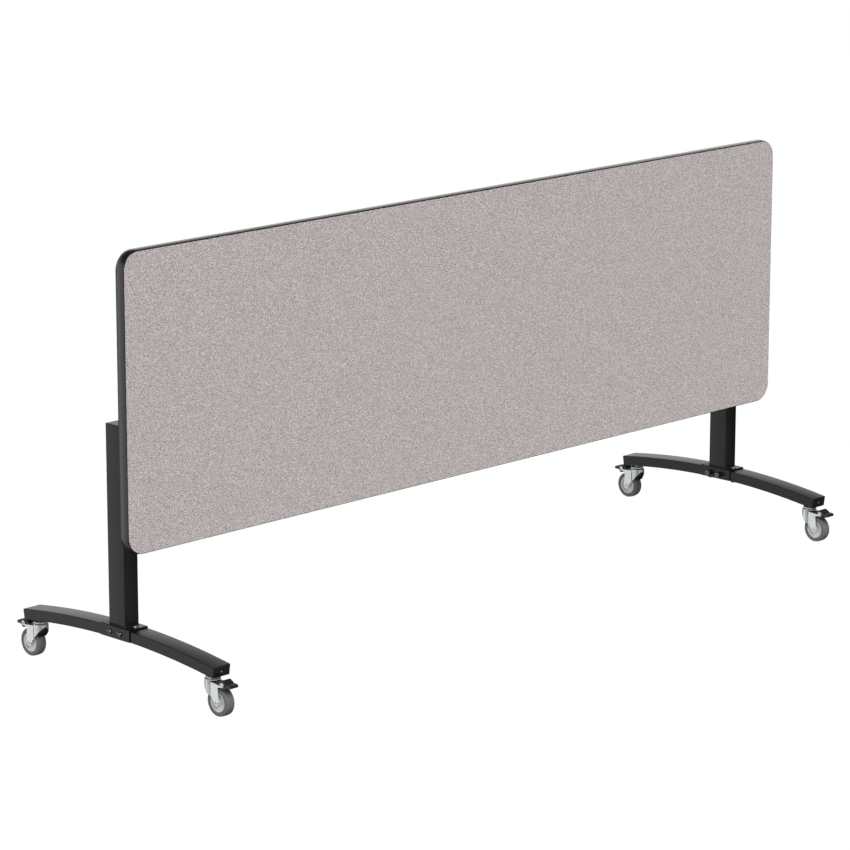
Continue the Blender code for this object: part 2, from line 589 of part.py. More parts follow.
def main():
    """Build every piece."""
    clear_scene()
    looks = {
        "steel": material("black_powder_coat", (0.030, 0.030, 0.031), 0.55),
        "cap": material("black_cap_plastic", (0.045, 0.045, 0.046), 0.60),
        "bolt": material("blackened_bolt_steel", (0.060, 0.060, 0.062), 0.40, 0.8),
        "screw": material("bright_screw_steel", (0.62, 0.62, 0.63), 0.30, 1.0),
        "zinc": material("zinc_plated_steel", (0.70, 0.73, 0.74), 0.35, 1.0),
        "hub": material("grey_hub_plastic", (0.58, 0.58, 0.58), 0.50),
        "tyre": material("grey_rubber", (0.20, 0.20, 0.20), 0.75),
        "nylon": material("black_nylon", (0.020, 0.020, 0.021), 0.50),
        "board": material("particle_board", (0.50, 0.38, 0.25), 0.90),
        "laminate": material("speckled_laminate", (0.45, 0.41, 0.39), 0.60),
        "backer": material("plain_backer", (0.30, 0.29, 0.28), 0.70),
        "band": material("black_edge_band", (0.025, 0.025, 0.025), 0.45),
    }
    panel = empty("panel_tilt_axis", (0.0, PIVOT_Y, PIVOT_Z))
    release = empty("release_axis", (0.0, LATCH_OFFSET, 0.0), panel)
    bpy.context.view_layer.update()
    make_panel(looks, panel)
    make_beam(looks)
    for side, name in ((-1, "left"), (1, "right")):
        make_leg(side, name, looks)
        sizes = make_tilt_fittings(side, name, looks, panel)
        for end, end_name in ((-1, "front"), (1, "rear")):
            make_castor(side, end, f"{name}_{end_name}", looks)
    make_release(looks, release, *sizes)


main()
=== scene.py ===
"""Detailed pieces, materials, light and camera for the tilting panel on two arched legs.

Shapes are written in millimetres in the frame's own axes: X along the panel, -Y the way
its speckled face looks, +Z up, with the origin on the floor between the legs.
"""
import math

import bmesh
import bpy
from mathutils import Euler, Matrix, Vector


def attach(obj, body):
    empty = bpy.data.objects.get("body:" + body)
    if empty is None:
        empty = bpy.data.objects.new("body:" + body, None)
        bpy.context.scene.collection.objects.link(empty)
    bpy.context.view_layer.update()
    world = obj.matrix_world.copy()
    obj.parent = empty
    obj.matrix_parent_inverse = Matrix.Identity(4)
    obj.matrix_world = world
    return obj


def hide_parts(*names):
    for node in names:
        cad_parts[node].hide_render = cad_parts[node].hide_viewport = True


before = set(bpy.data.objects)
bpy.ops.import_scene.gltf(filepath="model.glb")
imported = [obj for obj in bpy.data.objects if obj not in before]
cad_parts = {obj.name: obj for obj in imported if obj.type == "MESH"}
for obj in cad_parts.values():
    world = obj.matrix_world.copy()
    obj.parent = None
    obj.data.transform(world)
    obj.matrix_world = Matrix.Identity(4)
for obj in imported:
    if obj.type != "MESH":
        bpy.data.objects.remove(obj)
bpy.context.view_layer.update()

MM = 0.001
COLLECTION = bpy.context.scene.collection
SHARP_ANGLE = 32.0                   # degrees, where an edge counts as hard
GAP = 0.3                            # between pieces that rest on each other

# Panel
PANEL_HALF_LENGTH = 1219.2
PANEL_HALF_HEIGHT = 381.0
PANEL_MID_Z = 743.8
PANEL_FRONT_Y = -107.3
PANEL_BACK_Y = -75.55
PANEL_CORNER = 50.0
PANEL_CORNER_STEPS = 20
BAND_WIDTH = 3.5
BAND_CROWN = 2.3                     # how far the band's middle bulges past its borders
BAND_ROUND = 1.1                     # extra rounding of its borders
BAND_ROUND_FROM = 0.86               # where that begins, as a share of half the thickness
BAND_ROWS = 16
TONGUE_DEPTH = 9.0
SHEET = 0.9                          # thickness of each laminate
SHEET_EDGE = 0.15                    # its small chamfer

# Tilt axis, release bar and beam
PIVOT_Z = 686.0
BAR_Y = -24.0
BEAM_MID_Z = 525.0
BEAM_HALF = (15.0, 25.0)
BEAM_CORNER = 2.5
BEAM_WELD = 3.0
FLANGE_THICKNESS = 4.0
FLANGE_SCREWS = ((-18, -35), (18, -35), (-18, 35), (18, 35))
BRACKET_THICKNESS = 3.0
BRACKET_SCREWS = ((-8, 606), (14, 606))
HINGE_EAR = 4.5
HINGE_EAR_GAP = 0.6
HINGE_SCREW_ROWS = (-48.0, -16.0, 16.0, 48.0)
HINGE_SCREW_COLUMNS = (46.0, 24.0)   # inward from the ear
HINGE_PLATE_FACE = 3.3               # from the panel's back to the top of the plate
LEVER_HALF_WIDTH = 16.0
LEVER_BOSS = 11.5
LEVER_BORE = 6.3
RIB_COUNT = 5
RIB_PITCH = 6.5

# Legs
LEG_X = 1145.4
COLUMN = (45.0, 61.5)
COLUMN_TOP = 670.0
FOOT = (55.6, 28.7)
FOOT_TOP = 155.0
FOOT_RADIUS = 2477.0
FOOT_HALF_ANGLE = math.radians(8.38)
PLATE_TOP = 158.3
TUBE_WALL = 2.0
TUBE_CORNER = 2.0
TUBE_INNER_CORNER = 1.0
PLUG_DEPTH = 12.0                    # how far the caps reach into their tubes
COLUMN_WELD = 1.6
WELD_PITCH = 1.2
FOOT_STEPS = 72
RIVET_DEPTH = 2.3                    # of the end cap's face, past the end of the tube
SADDLE_OUTSIDE = 31.1
SADDLE_HALF_LENGTH = 54.5
SADDLE_BEND = 2.2
SIDE_BOLT_Y = 18.5
DOWN_BOLT_Y = 43.0
SIDE_BOLT_Z = 140.65
SIDE_NUT_LENGTH = 14.5
DOWN_NUT_LENGTH = 9.4

# Castors, in their own frame: +Y is the side the wheel trails to
SWIVEL_Y = 330.0
AXLE = (28.5, 37.0)
PEDAL_PIN = (49.0, 85.0)
SHOE_PIN = (4.0, 83.5)
CROWN_RADIUS = 21.2
CROWN_TOP = 92.0
CROWN_ROLL = 2.6                     # radius of its rolled edge
FORK_HALF = 16.6
FORK_WALL = 2.0
STEM_HOLE = 5.3
HEAD_BASE = CROWN_TOP + 0.6
WHEEL_RADIUS = 37.0
TYRE_HALF_WIDTH = 13.0
TYRE_INNER = 25.8
TYRE_SHOULDER = 3.2
SHOE_CLEARANCE = 3.6
SHOE_HALF_WIDTH = 12.8

# Studio light: (sine of height, level), then (degrees from +X towards +Y, level) for the walls
# below the horizon and above it
WORLD_HEIGHTS = [(-1.0, 0.25), (-0.55, 0.6), (-0.3, 1.0), (0.3, 1.0), (0.48, 0.25), (0.7, 0.06),
                 (1.0, 0.12)]
WORLD_LOW = [(-180, 0.78), (-155, 0.72), (-147, 0.22), (-114, 0.18), (-106, 0.7), (-76, 0.7),
             (-60, 0.50), (-50, 0.44), (-38, 0.04), (20, 0.06), (102, 0.12), (119, 1.3), (128, 1.2),
             (140, 1.0), (160, 0.85), (180, 0.78)]
WORLD_HIGH = [(-180, 1.0), (-155, 0.9), (-145, 0.3), (-114, 0.3), (-104, 0.8), (-72, 0.8),
              (-55, 0.4), (-40, 0.15), (0, 0.2), (15, 0.6), (30, 1.1), (45, 1.25), (75, 1.15),
              (110, 1.05), (180, 1.0)]
WORLD_STRENGTH = 1.0
HORIZON_BLEND = 0.06
KEY_AZIMUTH, KEY_ELEVATION, KEY_STRENGTH, KEY_SPREAD = 250.0, 52.0, 2.6, 40.0
FLOOR_HALF = 60.0                    # metres

# Camera, in metres and degrees
CAMERA_SPOT = (-6.969, -6.859, 2.821)
CAMERA_TILT, CAMERA_HEADING, CAMERA_ROLL = 76.502, -45.116, 0.035
CAMERA_LENS = 158.6
CAMERA_SENSOR = 36.0
CAMERA_REACH = 200.0


# ---------------------------------------------------------------- materials

NOISE_LOW, NOISE_HIGH = 0.3, 0.7     # the range that most of a noise falls in
MIX_A, MIX_B, MIX_RESULT = 6, 7, 2   # the colour sockets of a Mix node


def new_look(name, roughness, metallic=0.0, specular=0.5):
    """A Principled material with its own plain sockets set."""
    look = bpy.data.materials.new(name)
    look.use_nodes = True
    shader = look.node_tree.nodes["Principled BSDF"]
    shader.inputs["Roughness"].default_value = roughness
    shader.inputs["Metallic"].default_value = metallic
    shader.inputs["Specular IOR Level"].default_value = specular
    return look, look.node_tree.nodes, look.node_tree.links, shader


def add_noise(nodes, links, scale, detail):
    """Noise in the object's own space, measured per metre."""
    coords = nodes.new("ShaderNodeTexCoord")
    noise = nodes.new("ShaderNodeTexNoise")
    noise.inputs["Scale"].default_value = scale
    noise.inputs["Detail"].default_value = detail
    links.new(coords.outputs["Object"], noise.inputs["Vector"])
    return noise.outputs["Fac"]


def add_cells(nodes, links, scale):
    """Outputs of a Voronoi texture in the object's own space."""
    coords = nodes.new("ShaderNodeTexCoord")
    cells = nodes.new("ShaderNodeTexVoronoi")
    cells.inputs["Scale"].default_value = scale
    links.new(coords.outputs["Object"], cells.inputs["Vector"])
    return cells.outputs


def add_chance(nodes, links, cells):
    """One random value for each cell."""
    split = nodes.new("ShaderNodeSeparateColor")
    links.new(cells["Color"], split.inputs["Color"])
    return split.outputs["Red"]


def add_ramp(nodes, links, value, stops, constant=False):
    """Colour ramp fed by a value; stops are (place, colour)."""
    ramp = nodes.new("ShaderNodeValToRGB")
    elements = ramp.color_ramp.elements
    while len(elements) < len(stops):
        elements.new(0.5)
    for element, (place, color) in zip(elements, stops):
        element.position = place
        element.color = (*color, 1.0)
    if constant:
        ramp.color_ramp.interpolation = "CONSTANT"
    links.new(value, ramp.inputs["Fac"])
    return ramp.outputs["Color"]


def add_bump(nodes, links, shader, height, strength, distance):
    """Surface relief from a height value."""
    bump = nodes.new("ShaderNodeBump")
    bump.inputs["Strength"].default_value = strength
    bump.inputs["Distance"].default_value = distance
    links.new(height, bump.inputs["Height"])
    links.new(bump.outputs["Normal"], shader.inputs["Normal"])


def add_spread(nodes, links, value, low, high):
    """Remap the middle of a noise to a range."""
    spread = nodes.new("ShaderNodeMapRange")
    spread.inputs["From Min"].default_value = NOISE_LOW
    spread.inputs["From Max"].default_value = NOISE_HIGH
    spread.inputs["To Min"].default_value = low
    spread.inputs["To Max"].default_value = high
    links.new(value, spread.inputs["Value"])
    return spread.outputs["Result"]


def grained(name, dark, light, roughness, scale, relief, metallic=0.0, specular=0.5, patch=25.0):
    """Paint, steel, rubber or plastic: a slow colour drift, and a fine grain in gloss and relief."""
    look, nodes, links, shader = new_look(name, roughness[0], metallic, specular)
    drift = add_noise(nodes, links, patch, 2.0)
    color = add_ramp(nodes, links, drift, [(NOISE_LOW, dark), (NOISE_HIGH, light)])
    links.new(color, shader.inputs["Base Color"])
    grain = add_noise(nodes, links, scale, 4.0)
    links.new(add_spread(nodes, links, grain, *roughness), shader.inputs["Roughness"])
    add_bump(nodes, links, shader, grain, relief, 0.0002)
    return look


def speckled_laminate():
    """Decorative laminate: warm grey dots about 3 mm apart over flecks of about 1.5 mm."""
    look, nodes, links, shader = new_look("laminate_speckle", 0.55, specular=0.35)
    dots = add_ramp(nodes, links, add_cells(nodes, links, 350.0)["Distance"],
                    [(0.0, (0.100, 0.091, 0.088)), (0.24, (0.160, 0.144, 0.139)),
                     (0.44, (0.570, 0.513, 0.500)), (0.70, (0.915, 0.838, 0.822))])
    chance = add_chance(nodes, links, add_cells(nodes, links, 640.0))
    flecks = add_ramp(nodes, links, chance,
                      [(0.0, (0.120, 0.118, 0.110)), (0.18, (0.270, 0.239, 0.231)),
                       (0.42, (0.520, 0.468, 0.455)), (0.74, (0.885, 0.806, 0.789))], constant=True)
    mix = nodes.new("ShaderNodeMix")
    mix.data_type = "RGBA"
    mix.inputs["Factor"].default_value = 0.40
    links.new(dots, mix.inputs[MIX_A])
    links.new(flecks, mix.inputs[MIX_B])
    links.new(mix.outputs[MIX_RESULT], shader.inputs["Base Color"])
    grain = add_noise(nodes, links, 1400.0, 3.0)
    links.new(add_spread(nodes, links, grain, 0.50, 0.62), shader.inputs["Roughness"])
    add_bump(nodes, links, shader, grain, 0.12, 0.0001)
    return look


def board_look():
    """Raw particle board: pressed chips of wood."""
    look, nodes, links, shader = new_look("board_chips", 0.9, specular=0.2)
    cells = add_cells(nodes, links, 320.0)
    stops = [(0.0, (0.30, 0.20, 0.11)), (0.5, (0.50, 0.37, 0.23)), (1.0, (0.64, 0.50, 0.33))]
    color = add_ramp(nodes, links, add_chance(nodes, links, cells), stops)
    links.new(color, shader.inputs["Base Color"])
    add_bump(nodes, links, shader, cells["Distance"], 0.4, 0.0004)
    return look


# Each look's colours (dark, light), roughness range, grain per metre and relief
LOOKS = {
    "laminate": speckled_laminate(),
    "backer": grained("backer_sheet", (0.22, 0.21, 0.20), (0.25, 0.24, 0.23), (0.58, 0.68),
                      1200.0, 0.10),
    "board": board_look(),
    "band": grained("edge_band_black", (0.0045, 0.0047, 0.0050), (0.0060, 0.0062, 0.0065),
                    (0.20, 0.27), 1500.0, 0.05, specular=0.76),
    "paint": grained("powder_coat_black", (0.0050, 0.0052, 0.0055), (0.0065, 0.0067, 0.0070),
                     (0.28, 0.36), 1300.0, 0.08, specular=0.335),
    "cap": grained("cap_plastic", (0.008, 0.008, 0.0085), (0.011, 0.011, 0.0115), (0.26, 0.34),
                   1800.0, 0.08, specular=0.45),
    "weld": grained("painted_weld", (0.010, 0.010, 0.0105), (0.013, 0.013, 0.0135), (0.38, 0.48),
                    700.0, 0.40, specular=0.42, patch=60.0),
    "zinc": grained("zinc_plate", (0.70, 0.73, 0.735), (0.78, 0.81, 0.815), (0.26, 0.36),
                    900.0, 0.06, metallic=0.60, patch=140.0),
    "race": grained("zinc_race", (0.78, 0.80, 0.80), (0.86, 0.88, 0.88), (0.30, 0.42),
                    900.0, 0.06, metallic=0.10, patch=140.0),
    "bright": grained("bright_steel", (0.62, 0.62, 0.63), (0.70, 0.70, 0.71), (0.16, 0.26),
                      1500.0, 0.05, metallic=1.0, patch=200.0),
    "screw": grained("screw_steel", (0.34, 0.34, 0.35), (0.42, 0.42, 0.43), (0.20, 0.30),
                     1500.0, 0.05, metallic=1.0, patch=200.0),
    "dark_steel": grained("black_oxide_steel", (0.155, 0.155, 0.16), (0.185, 0.185, 0.19),
                          (0.24, 0.34), 1500.0, 0.10, metallic=1.0, patch=200.0),
    "hub": grained("hub_plastic", (0.66, 0.66, 0.665), (0.70, 0.70, 0.705), (0.40, 0.48),
                   1300.0, 0.02, patch=60.0),
    "tyre": grained("grey_rubber_tread", (0.150, 0.150, 0.151), (0.175, 0.175, 0.176), (0.55, 0.70),
                    1100.0, 0.20, specular=0.4, patch=70.0),
    "nylon": grained("nylon_black", (0.0085, 0.0085, 0.009), (0.0110, 0.0110, 0.0115), (0.30, 0.42),
                     1500.0, 0.12, specular=0.45),
    "seal": grained("seal_rubber", (0.030, 0.030, 0.031), (0.040, 0.040, 0.041), (0.55, 0.65),
                    1500.0, 0.12),
}


# ---------------------------------------------------------------- shapes

def piece_mesh(name, bm, look, sharp=SHARP_ANGLE):
    """A mesh in metres from a bmesh in millimetres, which is used up."""
    bmesh.ops.recalc_face_normals(bm, faces=bm.faces)
    bmesh.ops.scale(bm, vec=(MM, MM, MM), verts=bm.verts)
    mesh = bpy.data.meshes.new(name)
    bm.to_mesh(mesh)
    bm.free()
    mesh.shade_smooth()
    mesh.set_sharp_from_angle(angle=math.radians(sharp))
    mesh.materials.append(LOOKS[look])
    return mesh


def set_piece(name, mesh, body, replaces=(), place=None, bevel=0.0):
    """Put a mesh in the scene as a piece that rides on a body."""
    made = bpy.data.objects.new(name, mesh)
    COLLECTION.objects.link(made)
    if place is not None:
        made.matrix_world = place
    if bevel:
        soften(made, bevel)
    if replaces:
        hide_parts(*replaces)
    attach(made, body)


def piece(name, bm, look, body, replaces=(), place=None, bevel=0.0, sharp=SHARP_ANGLE):
    """A piece straight from a bmesh in millimetres."""
    set_piece(name, piece_mesh(name, bm, look, sharp), body, replaces, place, bevel)


def soften(made, width):
    """Round a piece's hard edges."""
    edges = made.modifiers.new("soft_edges", "BEVEL")
    edges.width = width * MM
    edges.segments = 3
    edges.limit_method = "ANGLE"
    edges.angle_limit = math.radians(SHARP_ANGLE)
    edges.harden_normals = True


def loft(loops, ring=False):
    """Join loops of points with quads; close the ends, or join them in a ring."""
    bm = bmesh.new()
    rows = [[bm.verts.new(point) for point in loop] for loop in loops]
    pairs = list(zip(rows, rows[1:]))
    if ring:
        pairs.append((rows[-1], rows[0]))
    else:
        bm.faces.new(rows[0])
        bm.faces.new(list(reversed(rows[-1])))
    for lower, upper in pairs:
        count = len(lower)
        for index in range(count):
            after = (index + 1) % count
            bm.faces.new((lower[index], lower[after], upper[after], upper[index]))
    return bm


def merge(shapes):
    """Put several bmeshes into one."""
    whole = bmesh.new()
    for bm in shapes:
        bmesh.ops.recalc_face_normals(bm, faces=bm.faces)
        mesh = bpy.data.meshes.new("part")
        bm.to_mesh(mesh)
        bm.free()
        whole.from_mesh(mesh)
        bpy.data.meshes.remove(mesh)
    return whole


def rounded(half_a, half_b, radius, steps):
    """Outline of a rectangle with round corners, anticlockwise."""
    points = []
    for quarter, (side_a, side_b) in enumerate(((1, 1), (-1, 1), (-1, -1), (1, -1))):
        for step in range(steps + 1):
            angle = math.pi / 2 * (quarter + step / steps)
            a = side_a * (half_a - radius) + radius * math.cos(angle)
            b = side_b * (half_b - radius) + radius * math.sin(angle)
            points.append((a, b))
    return points


def arc(centre, radius, start, end, steps):
    """Points of an arc, angles in degrees."""
    points = []
    for step in range(steps + 1):
        angle = math.radians(start + (end - start) * step / steps)
        points.append((centre[0] + radius * math.cos(angle), centre[1] + radius * math.sin(angle)))
    return points


def curve(points, steps=6):
    """A smooth curve through points in a plane, its ends included."""
    spots = [Vector(point) for point in points]
    spots = [2 * spots[0] - spots[1], *spots, 2 * spots[-1] - spots[-2]]
    made = []
    for before, start, end, after in zip(spots, spots[1:], spots[2:], spots[3:]):
        for step in range(steps):
            t = step / steps
            spot = 0.5 * (2 * start + (end - before) * t
                          + (2 * before - 5 * start + 4 * end - after) * t * t
                          + (3 * start - before - 3 * end + after) * t ** 3)
            made.append(tuple(spot))
    made.append(tuple(spots[-2]))
    return made


def prism(outline, x_low, x_high):
    """Extrude an outline in Y and Z along X."""
    return loft([[(x, y, z) for y, z in outline] for x in (x_low, x_high)])


def turned(profile, steps=48, axis="Z", ring=False, hexagonal=()):
    """Turn (distance along axis, radius) pairs; the rows listed are hexagons."""
    loops = []
    for row, (along, radius) in enumerate(profile):
        loop = []
        for step in range(steps):
            angle = 2 * math.pi * step / steps
            reach = radius
            if row in hexagonal:
                reach = radius / math.cos((angle + math.pi / 6) % (math.pi / 3) - math.pi / 6)
            across, up = reach * math.cos(angle), reach * math.sin(angle)
            loop.append((along, across, up) if axis == "X" else (across, up, along))
        loops.append(loop)
    return loft(loops, ring)


def moved(bm, offset):
    """Shift a bmesh."""
    bmesh.ops.translate(bm, verts=bm.verts, vec=Vector(offset))
    return bm


def boolean(base, operation, cutters):
    """Return base combined with the cutters as a new bmesh; all inputs are used up."""
    shapes = []
    for bm in (base, *cutters):
        bmesh.ops.recalc_face_normals(bm, faces=bm.faces)
        mesh = bpy.data.meshes.new("shape")
        bm.to_mesh(mesh)
        bm.free()
        shape = bpy.data.objects.new("shape", mesh)
        COLLECTION.objects.link(shape)
        shapes.append(shape)
    for cutter in shapes[1:]:
        step = shapes[0].modifiers.new("step", "BOOLEAN")
        step.operation = operation
        step.solver = "EXACT"
        step.object = cutter
    graph = bpy.context.evaluated_depsgraph_get()
    graph.update()
    result = bmesh.new()
    result.from_mesh(shapes[0].evaluated_get(graph).to_mesh())
    for shape in shapes:
        bpy.data.objects.remove(shape, do_unlink=True)
    bmesh.ops.dissolve_degenerate(result, dist=1e-4, edges=result.edges)
    return result


def at(x, y, z, turn=(0.0, 0.0, 0.0)):
    """A place in millimetres with a turn in degrees."""
    turned_by = Euler([math.radians(angle) for angle in turn]).to_matrix().to_4x4()
    return Matrix.Translation((x * MM, y * MM, z * MM)) @ turned_by


def weld_bead(path, size):
    """A rippled fillet weld round a closed path of (point, outward, up) triples."""
    loops = []
    for index, (point, outward, up) in enumerate(path):
        ripple = size * (1.0 + 0.10 * math.sin(index * math.pi / 3))
        spots = [(-GAP, -GAP), (ripple, -GAP), (ripple * 0.72, ripple * 0.35),
                 (ripple * 0.35, ripple * 0.72), (-GAP, ripple)]
        loops.append([tuple(point + outward * a + up * b) for a, b in spots])
    return loft(loops, ring=True)


def bead_path(half_a, half_b, radius, make_point, outward_from, up):
    """Even steps round a rounded rectangle, as weld_bead wants them."""
    outline = rounded(half_a, half_b, radius, 4)
    path = []
    count = len(outline)
    for index in range(count):
        start, end = Vector(outline[index]), Vector(outline[(index + 1) % count])
        steps = max(1, round((end - start).length / WELD_PITCH))
        for step in range(steps):
            spot = start.lerp(end, step / steps)
            core = Vector((max(-half_a + radius, min(half_a - radius, spot.x)),
                           max(-half_b + radius, min(half_b - radius, spot.y))))
            normal = (spot - core).normalized()
            path.append((make_point(spot.x, spot.y), outward_from(normal.x, normal.y), up))
    return path


# ---------------------------------------------------------------- panel

def panel_loop(inset, y):
    """The panel's outline pulled in by inset, at one depth."""
    outline = rounded(PANEL_HALF_LENGTH - inset, PANEL_HALF_HEIGHT - inset, PANEL_CORNER - inset,
                      PANEL_CORNER_STEPS)
    return [(a, y, PANEL_MID_Z + b) for a, b in outline]


def panel_sheet(surface, inward):
    """A laminate whose outer side is at one depth; inward is +1 or -1 along Y."""
    inset = BAND_WIDTH + 0.05
    rows = [(inset, surface + inward * SHEET), (inset, surface + inward * SHEET_EDGE),
            (inset + SHEET_EDGE, surface)]
    return loft([panel_loop(*row) for row in rows])


def make_panel():
    """Laminate on both faces, and the moulded edge band with its crowned middle."""
    piece("panel_face_laminate", panel_sheet(PANEL_FRONT_Y, 1), "laminate", "panel",
          ["front_laminate"])
    piece("panel_back_sheet", panel_sheet(PANEL_BACK_Y, -1), "backer", "panel", ["back_laminate"])

    half = (PANEL_BACK_Y - PANEL_FRONT_Y) / 2
    rows = []
    for step in range(-BAND_ROWS, BAND_ROWS + 1):
        across = step / BAND_ROWS
        border = max(0.0, (abs(across) - BAND_ROUND_FROM) / (1.0 - BAND_ROUND_FROM))
        drop = BAND_CROWN * across ** 2 + BAND_ROUND * border ** 2
        rows.append((drop, PANEL_FRONT_Y + half * (1 + across * 0.995)))
    middle = (PANEL_FRONT_Y + PANEL_BACK_Y) / 2
    tip = BAND_WIDTH + TONGUE_DEPTH
    rows += [(BAND_WIDTH, middle + 1.5), (tip, middle + 1.2), (tip, middle - 1.2),
             (BAND_WIDTH, middle - 1.5)]
    band = loft([panel_loop(*row) for row in rows], ring=True)
    piece("panel_edge_moulding", band, "band", "panel", ["edge_band"], sharp=40.0)
    repaint("panel_core", "board")


def repaint(node, look, bevel=0.0):
    """Keep a CAD node's shape and give it a full material."""
    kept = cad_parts[node]
    kept.data.materials.clear()
    kept.data.materials.append(LOOKS[look])
    if bevel:
        soften(kept, bevel)


# ---------------------------------------------------------------- legs

def tube_outlines(half_a, half_b, steps):
    """Outside and inside of a rectangular tube."""
    inside = rounded(half_a - TUBE_WALL, half_b - TUBE_WALL, TUBE_INNER_CORNER, steps)
    return rounded(half_a, half_b, TUBE_CORNER, steps), inside


def make_column(middle, name):
    """Rectangular tube with soft corners, its top cap, and the weld round its base."""
    half_a, half_b = COLUMN[0] / 2, COLUMN[1] / 2
    outer, inner = tube_outlines(half_a, half_b, 6)
    base = PLATE_TOP + GAP
    brow = rounded(half_a - 0.4, half_b - 0.4, 1.6, 6)
    rows = [(outer, base), (outer, COLUMN_TOP - 0.4), (brow, COLUMN_TOP), (inner, COLUMN_TOP),
            (inner, base)]
    tube = loft([[(middle + a, b, z) for a, b in shape] for shape, z in rows], ring=True)
    piece(f"{name}_column_tube", tube, "paint", "frame", [f"{name}_column"])

    lip = COLUMN_TOP + GAP
    rows = [(inner, lip - PLUG_DEPTH), (inner, lip), (outer, lip), (outer, lip + 1.2)]
    rows += [(rounded(half_a - inset, half_b - inset, TUBE_CORNER, 6), lip + rise)
             for inset, rise in ((0.4, 1.8), (1.2, 2.1), (3.0, 2.2), (3.4, 1.9))]
    cap = loft([[(middle + a, b, z) for a, b in shape] for shape, z in rows])
    piece(f"{name}_column_top", cap, "cap", "frame", [f"{name}_column_cap"])

    path = bead_path(half_a, half_b, TUBE_CORNER, lambda a, b: Vector((middle + a, b, base)),
                     lambda a, b: Vector((a, b, 0)), Vector((0, 0, 1)))
    piece(f"{name}_column_weld", weld_bead(path, COLUMN_WELD), "weld", "frame", sharp=50.0)


def foot_point(middle, across, depth, angle):
    """A point of the arched foot: across it, below its top, and round its arc."""
    radius = FOOT_RADIUS - depth
    height = FOOT_TOP - FOOT_RADIUS + radius * math.cos(angle)
    return (middle + across, radius * math.sin(angle), height)


def make_foot(middle, name):
    """Arched tube, and moulded end caps with their rivets."""
    half, tall = FOOT[0] / 2, FOOT[1] / 2
    outer, inner = tube_outlines(half, tall, 5)
    angles = [FOOT_HALF_ANGLE * (2 * step / FOOT_STEPS - 1) for step in range(FOOT_STEPS + 1)]
    loops = [[foot_point(middle, a, tall + b, angle) for a, b in outer] for angle in angles]
    loops += [[foot_point(middle, a, tall + b, angle) for a, b in inner]
              for angle in reversed(angles)]
    piece(f"{name}_foot_arch", loft(loops, ring=True), "paint", "frame", [f"{name}_foot"])
    for end, end_name in ((-1, "front"), (1, "rear")):
        make_foot_end(middle, f"{name}_{end_name}", end)


def make_foot_end(middle, name, end):
    """End cap that follows the arch, with a rivet in a small well at its centre."""
    half, tall = FOOT[0] / 2, FOOT[1] / 2
    outer, inner = tube_outlines(half, tall, 5)
    rows = [(inner, -PLUG_DEPTH), (inner, GAP), (outer, GAP), (outer, 1.6)]
    rows += [(rounded(half - inset, tall - inset, corner, 5), out)
             for inset, corner, out in ((0.3, 1.9, 2.2), (1.0, 1.9, 2.6), (2.6, 1.4, 2.7),
                                        (3.0, 1.4, RIVET_DEPTH))]
    loops = []
    for shape, out in rows:
        angle = end * (FOOT_HALF_ANGLE + out / FOOT_RADIUS)
        loops.append([foot_point(middle, a, tall + b, angle) for a, b in shape])
    piece(f"{name}_end_cap", loft(loops), "cap", "frame", [f"{name}_foot_cap"])

    tip = foot_point(middle, 0.0, tall, end * (FOOT_HALF_ANGLE + RIVET_DEPTH / FOOT_RADIUS))
    lean = math.degrees(FOOT_HALF_ANGLE)
    spot = at(*tip, turn=(90.0 - lean if end < 0 else -90.0 + lean, 0.0, 0.0))
    well = [(-1.0, 4.4), (0.35, 4.4), (0.45, 4.1), (0.10, 3.3), (-0.5, 2.6), (-1.0, 2.4)]
    piece(f"{name}_rivet_well", turned(well, 32), "seal", "frame", place=spot)
    head = [(-0.6, 1.9), (0.10, 1.9), (0.30, 1.7), (0.42, 1.2), (0.48, 0.5)]
    piece(f"{name}_rivet", turned(head, 24), "bright", "frame", place=spot, sharp=50.0)


def bolt_shapes(head, nut, sleeve_length):
    """Button head with a hex socket, and the sleeve nut at the other end, along Z."""
    rows = [(head, 4.0), (head, 6.9), (head + 1.1, 7.0)]
    for angle in (15, 30, 45, 60, 75, 90):
        turn = math.radians(angle)
        rows.append((head + 1.1 + 3.1 * math.sin(turn), 3.3 + 3.7 * math.cos(turn)))
    rows += [(head + 4.2, 2.6), (head + 1.6, 2.5), (head + 1.5, 1.0)]
    count = len(rows)
    cap = turned(rows, 36, hexagonal=(count - 3, count - 2))
    end = nut - sleeve_length
    rows = [(nut, 4.0), (nut, 7.3), (nut - 0.4, 7.5), (end + 1.8, 7.5), (end + 0.6, 7.1),
            (end, 6.2), (end, 2.9), (end + 0.5, 2.5), (end + 5.0, 2.4), (end + 5.1, 1.0)]
    sleeve = turned(rows, 36, hexagonal=(7, 8))
    shank = turned([(nut - 3.0, 3.9), (head + 0.5, 3.9)], 24)
    return cap, sleeve, shank


def make_bolt(name, shapes, place, look):
    """A bolt's head with its shank, and its sleeve nut."""
    cap, sleeve, shank = shapes
    piece(f"{name}_bolt_head", merge([cap, shank]), look, "frame", [f"{name}_bolt"], place=place)
    piece(f"{name}_sleeve_nut", sleeve, "dark_steel", "frame", place=place)


